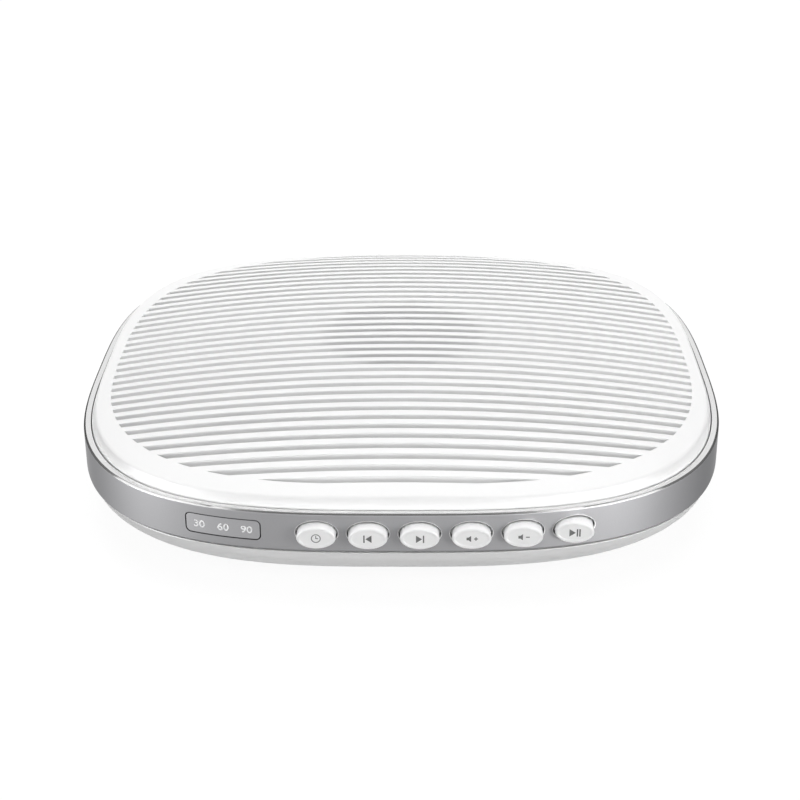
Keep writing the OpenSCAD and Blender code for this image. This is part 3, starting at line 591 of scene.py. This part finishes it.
class SM_OT_cover(Operator):
    """Models the ribbed cover as a closed shell"""
    bl_idname = "sound_machine.cover"
    bl_label = "Cover"

    def execute(self, context):
        scene = context.scene
        self.cover, self.outline = scene.sm_cover, scene.sm_outline
        self.edge_r = HALF - self.outline.lip - self.outline.gap
        self.foot_z = BAND_LOW.z + self.outline.flange
        self.lay_out_rows()
        top = self.patch("top_shell", self.dome_z)
        under = self.patch("under_shell", self.under_z)
        self.edge_top(top)
        self.edge_under(under)
        self.sink_grooves(top)
        self.open_slots(top, self.floor_z)
        self.open_slots(under, self.under_z)
        self.round_rims(top)
        edit_all(under)
        bpy.ops.mesh.flip_normals()
        close_edit()
        shell = join(top, under)
        shell.name = "cover"
        self.close(shell)
        smooth(outward(shell), 40)
        paint(shell, finish("white_plastic"))
        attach(shell, "housing")
        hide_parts("top_cover")
        return {"FINISHED"}

    def dome_z(self, x, y):
        cover = self.cover
        u, v = x / HALF, y / HALF
        fall = (1 - cover.front_curl) * v * v + cover.front_curl * v ** 4
        return CROWN_Z - cover.side_drop * u * u - cover.front_drop * fall + cover.corner_lift * u * u * v * v

    def vault_z(self, x, y, down):
        """Height of the shallow vault under the crown, lowered by a depth."""
        drop = self.cover.side_drop
        r = (HALF * HALF + drop ** 2) / (2 * drop)
        return CROWN_Z - down - r + math.sqrt(r * r - x * x - y * y)

    def under_z(self, x, y):
        return self.vault_z(x, y, self.cover.wall)

    def floor_z(self, x, y):
        """Height of the blind grooves' floor."""
        return self.vault_z(x, y, self.cover.wall - self.cover.floor)

    def half_row(self, y):
        """Half the width of the ribbed field at y."""
        cover = self.cover
        v = min(1.0, abs(y) / (cover.field_d / 2))
        n = cover.field_squareness
        return cover.field_w / 2 * (1 - v ** n) ** (1 / n)

    def lay_out_rows(self):
        """Lists the grid's lines from front to back. One lies on each side of each groove, with more between
        them where the field's outline turns."""
        cover, spacing = self.cover, 1.7 * MM
        count = 2 * int((cover.field_d - cover.groove) / 2 / cover.pitch + 0.5)
        self.grooves = [(i - (count - 1) / 2) * cover.pitch for i in range(count)]
        sides = [c + s * cover.groove / 2 for c in self.grooves for s in (-1, 1)]
        self.rows = [sides[0]]
        for a, b in zip(sides, sides[1:]):
            run = math.hypot(b - a, self.half_row(b) - self.half_row(a))
            parts = max(1, math.ceil(run / spacing))
            self.rows += [a + (b - a) * i / parts for i in range(1, parts + 1)]

    def in_field(self, co, slack=0.0):
        return abs(co.y) < self.rows[-1] + slack and abs(co.x) < self.half_row(co.y) + slack

    def in_groove(self, co):
        return self.in_field(co) and any(abs(co.y - c) < self.cover.groove / 2 for c in self.grooves)

    def slot_at(self, y):
        """Centre of the open groove that holds y, or None."""
        half = self.cover.groove / 2
        for c in self.grooves:
            if abs(y - c) < half + NEAR and abs(c) + half < self.cover.open_r:
                return c
        return None

    def patch(self, name, height):
        """The ribbed field as a grid, whose columns spread to the field's outline."""
        last = len(self.rows) - 1
        bpy.ops.mesh.primitive_grid_add(x_subdivisions=self.cover.columns, y_subdivisions=last, size=2)
        piece = named(name)
        edit_all(piece)

        def rule(co):
            y = self.rows[round((co.y + 1) / 2 * last)]
            x = co.x * self.half_row(y)
            return Vector((x, y, height(x, y)))
        reshape(piece, rule)
        close_edit()
        return piece

    def sink_grooves(self, piece):
        edit(piece, "FACE")
        choose(piece, "faces", lambda face: self.in_groove(face.calc_center_median()))
        bpy.ops.mesh.extrude_region_move()
        reshape(piece, lambda co: Vector((co.x, co.y, self.floor_z(co.x, co.y))))
        close_edit()

    def slide(self, x, y):
        """Slides a point along its line, so that a column of the grid meets the open circle."""
        slot = self.slot_at(y)
        reach = self.half_row(y)
        circle = self.cover.open_r
        half = self.cover.columns / 2
        old = round(math.sqrt(circle ** 2 - slot ** 2) / self.half_row(slot) * half) / half * reach
        new = math.sqrt(circle ** 2 - y * y)
        if abs(x) <= old:
            return x * new / old
        return math.copysign(new + (abs(x) - old) * (reach - new) / (reach - old), x)

    def open_slots(self, piece, height):
        """Fits the floor's columns to the circle over the speaker and deletes the floor inside it."""
        edit(piece)

        def on_floor(co):
            return (self.slot_at(co.y) is not None and self.in_field(co, NEAR)
                    and co.z < self.floor_z(co.x, co.y) + 0.1 * MM)
        choose(piece, "verts", lambda vert: on_floor(vert.co))

        def rule(co):
            x = self.slide(co.x, co.y)
            return Vector((x, co.y, height(x, co.y)))
        reshape(piece, rule)
        bpy.ops.mesh.select_mode(type="FACE")
        inside = self.cover.open_r - 0.3 * MM
        choose(piece, "faces", lambda face: abs(face.normal.z) > 0.7
               and self.in_groove(face.calc_center_median()) and face.calc_center_median().xy.length < inside
               and all(on_floor(vert.co) for vert in face.verts))
        bpy.ops.mesh.delete(type="FACE")
        close_edit()

    def outer_ring(self, piece, reach, height, way=1):
        """Extrudes the outer loop towards the outline of a half-size, by a share of the way left."""
        bpy.ops.mesh.extrude_edges_move()
        n = self.outline.squareness

        def rule(co):
            goal = squircle(reach, n, math.atan2(co.y, co.x))
            point = Vector((co.x, co.y, 0)).lerp(goal, way)
            point.z = height(point.x, point.y)
            return point
        reshape(piece, rule)

    def round_rims(self, piece):
        edit(piece, "EDGE")
        choose(piece, "edges", self.is_rim)
        bpy.ops.mesh.bevel(offset=self.cover.rim, segments=3, clamp_overlap=True, miter_outer="ARC")
        close_edit()

    def edge_top(self, piece):
        """Adds the plain border, the shoulder and the wall."""
        shoulder = self.cover.shoulder
        edit(piece, "EDGE")
        choose_open(piece)
        inner_r = self.edge_r - self.cover.draft - shoulder
        for way in (0.4, 0.7, 1):
            self.outer_ring(piece, inner_r, self.dome_z, way)
        for degrees in (22.5, 45, 67.5, 90):
            a = math.radians(degrees)
            sink = shoulder * (1 - math.cos(a))
            self.outer_ring(piece, inner_r + shoulder * math.sin(a), lambda x, y: self.dome_z(x, y) - sink)
        self.outer_ring(piece, self.edge_r, lambda x, y: BAND_HIGH.z)
        self.outer_ring(piece, self.edge_r, lambda x, y: self.foot_z)
        close_edit()

    def is_rim(self, edge):
        """An edge between a groove's wall and the dome."""
        high = all(abs(vert.co.z - self.dome_z(vert.co.x, vert.co.y)) < 0.05 * MM for vert in edge.verts)
        walls = [face for face in edge.link_faces if abs(face.normal.z) < 0.3]
        return high and len(walls) == 1

    def edge_under(self, piece):
        """Adds the underside's border and the wall's inner face."""
        edit(piece, "EDGE")
        choose_open(piece)
        inner_r = self.edge_r - self.cover.wall
        for way in (0.5, 1):
            self.outer_ring(piece, inner_r, self.under_z, way)
        self.outer_ring(piece, inner_r, lambda x, y: self.foot_z)
        close_edit()

    def close(self, shell):
        """Joins the two sheets round the foot of the wall and round each open slot."""
        edit(shell, "EDGE")
        choose_open(shell, lambda co: abs(co.z - self.foot_z) < NEAR)
        bpy.ops.mesh.bridge_edge_loops()
        for slot in [c for c in self.grooves if self.slot_at(c) is not None]:
            choose_open(shell, lambda co: abs(co.y - slot) < self.cover.groove / 2 + NEAR)
            bpy.ops.mesh.bridge_edge_loops()
        close_edit()


# The finishes of the band, the top of its lip, the lip's outer edge and the rims of the holes. The lip's
# lighter top is painted light, the edge's dark colour a painted dark reflection, and the rims' lighter colour
# a painted reflection of the buttons.
BAND_FINISHES = ("silver_paint", "silver_lip", "polished_edge", "silver_rim")
PAINTED_LIGHT_LIP, EDGE, PAINTED_REFLECTION_RIM = 1, 2, 3


class SM_OT_band(Operator):
    """Models the silver trim band with its lip and holes"""
    bl_idname = "sound_machine.band"
    bl_label = "Band"

    def execute(self, context):
        scene = context.scene
        sizes, keys = scene.sm_outline, scene.sm_buttons
        low, high = BAND_LOW.z, BAND_HIGH.z
        edge, inner = sizes.chamfer, HALF - sizes.lip
        round_r, soft = 0.12 * MM, 0.06 * MM
        flange_r = inner - sizes.gap - scene.sm_cover.wall
        rings = [(HALF - edge - soft, low), (HALF - edge + soft, low + soft / 2),
                 (HALF - soft / 2, low + edge - soft), (HALF, low + edge + soft)]
        rings += [(HALF, high - edge - soft), (HALF - soft / 2, high - edge + soft),
                  (HALF - edge + soft, high - soft / 2), (HALF - edge - soft, high)]
        rings += arc(inner + round_r, high - round_r, round_r, 90, 180, 2)
        rings += [(inner, low + sizes.flange), (flange_r, low + sizes.flange), (flange_r, low)]
        band = hoop("band", rings, sizes.steps, sizes.squareness)
        self.cut_holes(band, keys, scene.sm_window)
        paint(band, *[finish(name) for name in BAND_FINISHES])
        self.finish_lip(band, high, edge)
        self.finish_hole_edges(band, keys)
        smooth(band, 30)
        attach(band, "housing")
        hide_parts("trim_band")
        return {"FINISHED"}

    def cut_holes(self, band, keys, window):
        """Cuts the holes for the buttons, the timer window and the power inlet."""
        wide, high = keys.width + 2 * keys.gap, keys.height + 2 * keys.gap
        cutters = [rounded_hole(wide, high, keys.hole_edge, 10 * MM, middle(name + "_button"), -1)
                   for name in BUTTONS]
        cutters.append(window_cutter(*window_reach(), window.corner))
        inlet, rim = 2 * NOSE_R + 0.3 * MM, 0.3 * MM
        cutters.append(rounded_hole(inlet, inlet, rim, 6 * MM, middle("inlet_pin"), 1))
        combine(band, "DIFFERENCE", *cutters)

    def finish_lip(self, band, high, edge):
        """The top of the lip gets a lighter finish, painted light on its up-facing top, and its rounded outer
        edge a dark polished one, a painted dark reflection that lamps still light up.
        """
        for face in band.data.polygons:
            if face.center.z > high - 0.005 * MM:
                # Painted light: the flat top of the lip gets the lighter finish.
                face.material_index = PAINTED_LIGHT_LIP
            elif face.center.z > high - edge and face.normal.z > 0.3:
                # Painted dark reflection: the outer chamfer gets the dark polished finish.
                face.material_index = EDGE

    def finish_hole_edges(self, band, keys):
        """The rounded edge of each button's hole gets a lighter finish than the band, a painted reflection of
        the white button.
        """
        spread = keys.gap + keys.hole_edge
        wide, high = keys.width / 2 + spread, keys.height / 2 + spread
        spots = [vert.co for vert in band.data.vertices]
        for name in BUTTONS:
            centre = middle(name + "_button")
            inside = [math.hypot((co.x - centre.x) / wide, (co.z - centre.z) / high) < 1.002
                      and co.y < front_of(co.x, HALF) + keys.hole_edge for co in spots]
            for face in band.data.polygons:
                if all(inside[i] for i in face.vertices):
                    face.material_index = PAINTED_REFLECTION_RIM


def rounded_hole(wide, high, edge, deep, centre, side):
    """A cutter for an oval hole with a rounded rim in the band's front (side -1) or back (side 1)."""
    rings = [(wide / 2 + edge, high / 2 + edge, -MM)]
    for degrees in (8, 26, 44, 62, 80):
        a = math.radians(degrees)
        spread = edge * (1 - math.sin(a))
        rings.append((wide / 2 + spread, high / 2 + spread, edge * (1 - math.cos(a))))
    rings.append((wide / 2, high / 2, deep))
    return follow_front(bar("hole", rings, (centre.x, 0, centre.z)), HALF, side)


def window_reach():
    """Half the width and height of the window's hole in the band. The lens has a flange behind it."""
    low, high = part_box("timer_window")
    size = high - low
    return (size.x / 2 - LENS_FLANGE, size.z / 2 - LENS_FLANGE)


def window_cutter(wide, high, radius):
    """A rounded block through the band at the timer window, of a half-width and half-height."""
    centre = middle("timer_window")
    front, back = -HALF - MM, -HALF + 25 * MM
    place = (centre.x, (front + back) / 2, centre.z)
    piece = block("window_cutter", place, (2 * wide, back - front, 2 * high))
    edit(piece, "EDGE")
    choose(piece, "edges", lambda edge: abs(edge.verts[0].co.y - edge.verts[1].co.y) > MM)
    bpy.ops.mesh.bevel(offset=radius, segments=8)
    close_edit()
    return piece


class SM_OT_base(Operator):
    """Models the base housing, which draws in towards the floor"""
    bl_idname = "sound_machine.base"
    bl_label = "Base"

    def execute(self, context):
        scene = context.scene
        sizes = scene.sm_outline
        low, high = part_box("base_housing")[0].z, BAND_LOW.z
        rim_r = HALF - sizes.rim_inset

        def level(h, inset=0.0, sink=0.0):
            return rim_r - sizes.taper * (1 - h) ** 2 - inset, low + (high - low) * h + sink
        edge, slit, slit_depth, wall = sizes.base_edge, sizes.slit, sizes.slit_depth, sizes.base_wall
        start = edge / (high - low)
        rings = [level(0, edge * 1.1), level(start * 0.1, edge * 0.6), level(start * 0.35, edge * 0.28),
                 level(start)]
        rings += [level(h / 10) for h in range(2, 10)]
        rings += [level(1, 0, -1.3 * slit), level(1, 0.2 * slit, -slit), level(1, slit_depth, -slit),
                  level(1, slit_depth)]
        rings += [level(h, wall) for h in (1, 0.7, 0.45, wall / (high - low))]
        base = hoop("base", rings, sizes.steps, sizes.squareness, filled=True)
        combine(base, "DIFFERENCE", *[self.recess(x, y, low) for x, y in foot_places()])
        # The base's darker white is painted shade for its place under the band.
        paint(smooth(base), finish("base_plastic"))
        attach(base, "housing")
        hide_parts("base_housing")
        return {"FINISHED"}

    def recess(self, x, y, low):
        """A cutter for the recess that holds a foot."""
        bpy.ops.mesh.primitive_cylinder_add(vertices=64, radius=FOOT_R + 0.2 * MM, depth=2 * MM,
                                            location=(x, y, low))
        return settle(named("recess"))


def foot_places():
    low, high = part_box("rubber_feet")
    reach = (high.x - low.x) / 2 - FOOT_R
    return [(sx * reach, sy * reach) for sx in (-1, 1) for sy in (-1, 1)]


class SM_OT_buttons(Operator):
    """Models the six oval buttons and prints their marks"""
    bl_idname = "sound_machine.buttons"
    bl_label = "Buttons"

    def execute(self, context):
        keys = context.scene.sm_buttons
        for name in BUTTONS:
            low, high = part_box(name + "_button")
            centre = middle(name + "_button")
            cap = self.cap(name, keys, centre, low.y, high.y)
            paint(cap, finish("white_plastic"))
            self.print_mark(name, keys, Vector((centre.x, low.y + keys.face_sunk, centre.z)))
            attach(cap, name + "_key")
            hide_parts(name + "_button")
        return {"FINISHED"}

    def cap(self, name, keys, centre, front, back):
        """An oval cap with a face inside a raised rim, a flange just inside the band, and a stem."""
        rim, round_r, sunk = keys.rim, keys.rim_round, keys.face_sunk
        w, h = keys.width / 2, keys.height / 2
        rings = [(w * 0.3, h * 0.3, sunk), (w * 0.6, h * 0.6, sunk)]
        rings += [(w - way * rim, h - way * rim, depth * sunk)
                  for way, depth in ((1.25, 1), (1.08, 0.92), (0.9, 0.3), (0.78, 0.05))]
        for degrees in (90, 75, 60, 45, 30, 15, 0):
            a = math.radians(degrees)
            inset = round_r * (1 - math.cos(a))
            rings.append((w - inset, h - inset, round_r * (1 - math.sin(a))))
        band_r = HALF - bpy.context.scene.sm_outline.lip
        flange = front_of(abs(centre.x) + w + KEY_FLANGE, band_r) + 0.3 * MM - front
        thick, stem = 0.8 * MM, 1.5 * MM
        rings += [(w, h, flange), (w + KEY_FLANGE, h, flange), (w + KEY_FLANGE, h, flange + thick),
                  (stem, stem, flange + thick), (stem, stem, back - front)]
        return smooth(bar(name + "_cap", rings, (centre.x, front, centre.z)), 40)

    def print_mark(self, name, keys, spot):
        mark = join(*MARKS[name]())
        mark.name = name + "_mark"
        mark.location = spot
        mark.scale = (keys.mark, 1, keys.mark)
        settle(mark)
        paint(mark, finish("grey_print"))
        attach(mark, name + "_key")


def flat_mark(name, corners):
    """A thin flat shape that faces the front, with corners listed anticlockwise. A mark is drawn 1 high."""
    count = len(corners)
    bpy.ops.mesh.primitive_circle_add(vertices=count, radius=1, fill_type="NGON")
    piece = named(name)
    first = math.atan2(piece.data.vertices[0].co.y, piece.data.vertices[0].co.x)
    edit_all(piece, "FACE")

    def rule(co):
        turn = (math.atan2(co.y, co.x) - first) % (2 * math.pi)
        x, y = corners[round(turn / (2 * math.pi) * count) % count]
        return Vector((x, y, 0))
    reshape(piece, rule)
    bpy.ops.mesh.extrude_region_move(TRANSFORM_OT_translate={"value": (0, 0, PRINT_THICK)})
    close_edit()
    piece.matrix_world = Matrix.Rotation(math.pi / 2, 4, "X")
    return outward(settle(piece))


def bar_mark(x, z, wide, high):
    w, h = wide / 2, high / 2
    return flat_mark("bar", [(x + w, z + h), (x - w, z + h), (x - w, z - h), (x + w, z - h)])


def arrow_mark(x, wide, high):
    """A triangle whose upright side is at x, and whose tip points the way of its signed width."""
    corners = [(x, high / 2), (x, -high / 2), (x + wide, 0)]
    return flat_mark("arrow", corners if wide > 0 else corners[::-1])


def skip_mark(way):
    """A triangle that points at an upright bar, to the right (way 1) or to the left (way -1)."""
    return [bar_mark(way * 0.45, 0, 0.16, 1), arrow_mark(way * -0.45, way * 0.72, 1)]


def play_mark():
    return [bar_mark(0.3, 0, 0.17, 1), bar_mark(0.6, 0, 0.17, 1), arrow_mark(-0.65, 0.75, 1)]


def clock_mark():
    r, stroke = 0.58, 0.11
    inner = r - stroke
    rings = [(r, r, -PRINT_THICK), (r, r, 0), (inner, inner, 0), (inner, inner, -PRINT_THICK)]
    hands = [bar_mark(0, 0.16, stroke, 0.42), bar_mark(0.13, 0, 0.3, stroke)]
    return [bar("ring", rings, (0, 0, 0), 48, filled=False)] + hands


def quieter_mark():
    """A small loudspeaker, seen from its side, and a minus."""
    upper = [(-0.08, 0.42), (-0.38, 0.18), (-0.62, 0.18)]
    lower = [(x, -z) for x, z in reversed(upper)]
    return [flat_mark("horn", upper + lower), bar_mark(0.5, 0, 0.46, 0.13)]


def louder_mark():
    return quieter_mark() + [bar_mark(0.5, 0, 0.13, 0.46)]


MARKS = {
    "timer": clock_mark,
    "previous": lambda: skip_mark(-1),
    "next": lambda: skip_mark(1),
    "volume_up": louder_mark,
    "volume_down": quieter_mark,
    "play": play_mark,
}

# The window's numbers, and how far each stands from the window's middle in millimetres.
NUMBERS = {"30": -5.15, "60": 0.05, "90": 5.1}


class SM_OT_window(Operator):
    """Models the timer window and prints its numbers"""
    bl_idname = "sound_machine.window"
    bl_label = "Timer window"

    def execute(self, context):
        scene = context.scene
        sizes = scene.sm_window
        front, seat = HALF - sizes.sunk, HALF - scene.sm_outline.lip
        lens = self.part("timer_lens", front, seat - LENS_FLANGE, -sizes.line, sizes.corner - sizes.line)
        flange = self.part("lens_flange", seat, seat - LENS_FLANGE, LENS_FLANGE, 1.8 * MM)
        combine(lens, "UNION", flange)
        smooth(outward(lens), 30)
        paint(lens, finish("window_plastic"))
        printed = join(*[self.number(text, x * MM, front, sizes) for text, x in NUMBERS.items()])
        printed.name = "timer_numbers"
        paint(printed, finish("white_print"))
        for piece in (lens, printed):
            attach(piece, "housing")
        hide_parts("timer_window")
        return {"FINISHED"}

    def part(self, name, front, back, spread, radius):
        """A slice of the band's outline, cut to a rounded rectangle that spreads past the window's hole."""
        outline = bpy.context.scene.sm_outline
        z, tall = middle("timer_window").z, 4 * MM
        rings = [(front, z - tall), (front, z + tall), (back, z + tall), (back, z - tall)]
        piece = hoop(name, rings, outline.steps, outline.squareness)
        wide, high = window_reach()
        combine(piece, "INTERSECT", window_cutter(wide + spread, high + spread, radius))
        return piece

    def number(self, text, x, r, sizes):
        """A printed number that follows the curve of the lens, at x from the window's middle."""
        deselect()
        bpy.ops.object.text_add()
        words = bpy.context.object.data
        words.body = text
        words.size = sizes.type_size
        words.extrude, words.bevel_depth, words.bevel_resolution = 0.015 * MM, 0.02 * MM, 0
        words.align_x = words.align_y = "CENTER"
        bpy.ops.object.convert(target="MESH")
        piece = named("number_" + text)
        centre, down = middle("timer_window"), 0.12 * MM
        upright = Matrix.Rotation(math.pi / 2, 4, "X") @ Matrix.Diagonal((sizes.widening, 1, 1, 1))
        piece.matrix_world = Matrix.Translation((centre.x + x, 0, centre.z - down)) @ upright
        return follow_front(settle(piece), r)


class SM_OT_feet(Operator):
    """Models one rubber foot and copies it to the other corners"""
    bl_idname = "sound_machine.feet"
    bl_label = "Feet"

    def execute(self, context):
        top, edge = 3 * MM, 0.8 * MM
        rings = [(FOOT_R - 1.6 * edge, 0.12 * MM), (FOOT_R - 1.4 * edge, 0)]
        rings += arc(FOOT_R - edge, edge, edge, -90, 0, 5) + [(FOOT_R, top)]
        foot = smooth(hoop("foot", rings, 64, 2, filled=True))
        paint(foot, finish("foot_rubber"))
        for i, (x, y) in enumerate(foot_places()):
            activate(foot)
            bpy.ops.object.duplicate()
            bpy.ops.transform.translate(value=(x, y, 0))
            copy = settle(named(f"rubber_foot_{i + 1}"))
            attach(copy, "housing")
            if i == 0:
                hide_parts("rubber_feet")
        bpy.data.objects.remove(foot)
        return {"FINISHED"}


class SM_OT_inlet(Operator):
    """Models the power inlet's socket and its contact pin"""
    bl_idname = "sound_machine.inlet"
    bl_label = "Power inlet"

    def execute(self, context):
        low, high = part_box("inlet_body")
        tip, axis_z = high.y, middle("inlet_pin").z
        socket_r, deep, chamfer = 1.8 * MM, 9 * MM, 0.3 * MM
        nose = [(socket_r, deep), (socket_r, chamfer), (socket_r + chamfer, 0)]
        nose += [(NOSE_R - 0.35 * MM, 0), (NOSE_R - 0.1 * MM, 0.1 * MM), (NOSE_R, 0.35 * MM),
                 (NOSE_R, deep + 0.4 * MM)]
        barrel = bar("inlet_barrel", [(r, r, -depth) for r, depth in nose], (0, tip, axis_z), 64)
        case_long = 9 * MM
        case_front = low.y + case_long
        case = block("inlet_case", (0, (low.y + case_front) / 2, (low.z + high.z) / 2),
                     (high.x - low.x, case_long, high.z - low.z))
        bore_r, bore_front = NOSE_R - 0.05 * MM, tip - deep - 0.35 * MM
        bore = [(bore_r, bore_r, 0), (bore_r, bore_r, case_front + MM - bore_front)]
        combine(case, "DIFFERENCE", bar("bore", bore, (0, bore_front, axis_z), 64))
        body = join(case, barrel)
        body.name = "power_inlet"
        smooth(outward(body))
        paint(body, finish("black_plastic"))
        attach(body, "housing")
        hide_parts("inlet_body")
        self.pin()
        return {"FINISHED"}

    def pin(self):
        low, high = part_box("inlet_pin")
        r = (high.x - low.x) / 2
        turns = [math.radians(degrees) for degrees in (20, 40, 60, 75, 90)]
        rings = [(r * math.sin(a), r * math.sin(a), -r * (1 - math.cos(a))) for a in turns]
        rings += [(r, r, -(high.y - low.y))]
        pin = smooth(bar("contact_pin", rings, (0, high.y, middle("inlet_pin").z), 32), 40)
        paint(pin, finish("pin_brass"))
        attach(pin, "housing")
        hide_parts("inlet_pin")


class SM_OT_inside(Operator):
    """Gives every inner piece its finish"""
    bl_idname = "sound_machine.inside"
    bl_label = "Inside"

    def execute(self, context):
        slots = {part["node"]: part["material_slot"] for part in frame["record"]["subparts"]}
        for node, piece in frame["nodes"].items():
            if slots[node] in FINISHES:
                paint(piece, finish(slots[node]))
        return {"FINISHED"}


class SM_PT_sidebar(Panel):
    """Sizes and colours of the sound machine"""
    bl_idname = "SM_PT_sidebar"
    bl_label = "Sound machine"
    bl_space_type = "VIEW_3D"
    bl_region_type = "UI"
    bl_category = "Sound machine"

    def draw(self, context):
        for name, group in GROUPS.items():
            box = self.layout.box()
            box.label(text=group.__name__)
            for prop in group.__annotations__:
                box.prop(getattr(context.scene, name), prop)
        for operator in OPERATORS:
            self.layout.operator(operator.bl_idname)


OPERATORS = (SM_OT_stage, SM_OT_cover, SM_OT_band, SM_OT_base, SM_OT_buttons, SM_OT_window, SM_OT_feet,
             SM_OT_inlet, SM_OT_inside)
GROUPS = {"sm_outline": OutlineSizes, "sm_cover": CoverSizes, "sm_buttons": ButtonSizes,
          "sm_window": WindowSizes, "sm_colours": Colours, "sm_stage": StageSizes}
CLASSES = (*GROUPS.values(), *OPERATORS, SM_PT_sidebar)


def register():
    for cls in CLASSES:
        bpy.utils.register_class(cls)
    for name, group in GROUPS.items():
        setattr(bpy.types.Scene, name, PointerProperty(type=group))


def unregister():
    for name in GROUPS:
        delattr(bpy.types.Scene, name)
    for cls in reversed(CLASSES):
        bpy.utils.unregister_class(cls)


def main():
    register()
    for name in ("stage", "cover", "band", "base", "buttons", "window", "feet", "inlet", "inside"):
        getattr(bpy.ops.sound_machine, name)()
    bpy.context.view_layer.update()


if __name__ == "__main__":
    main()
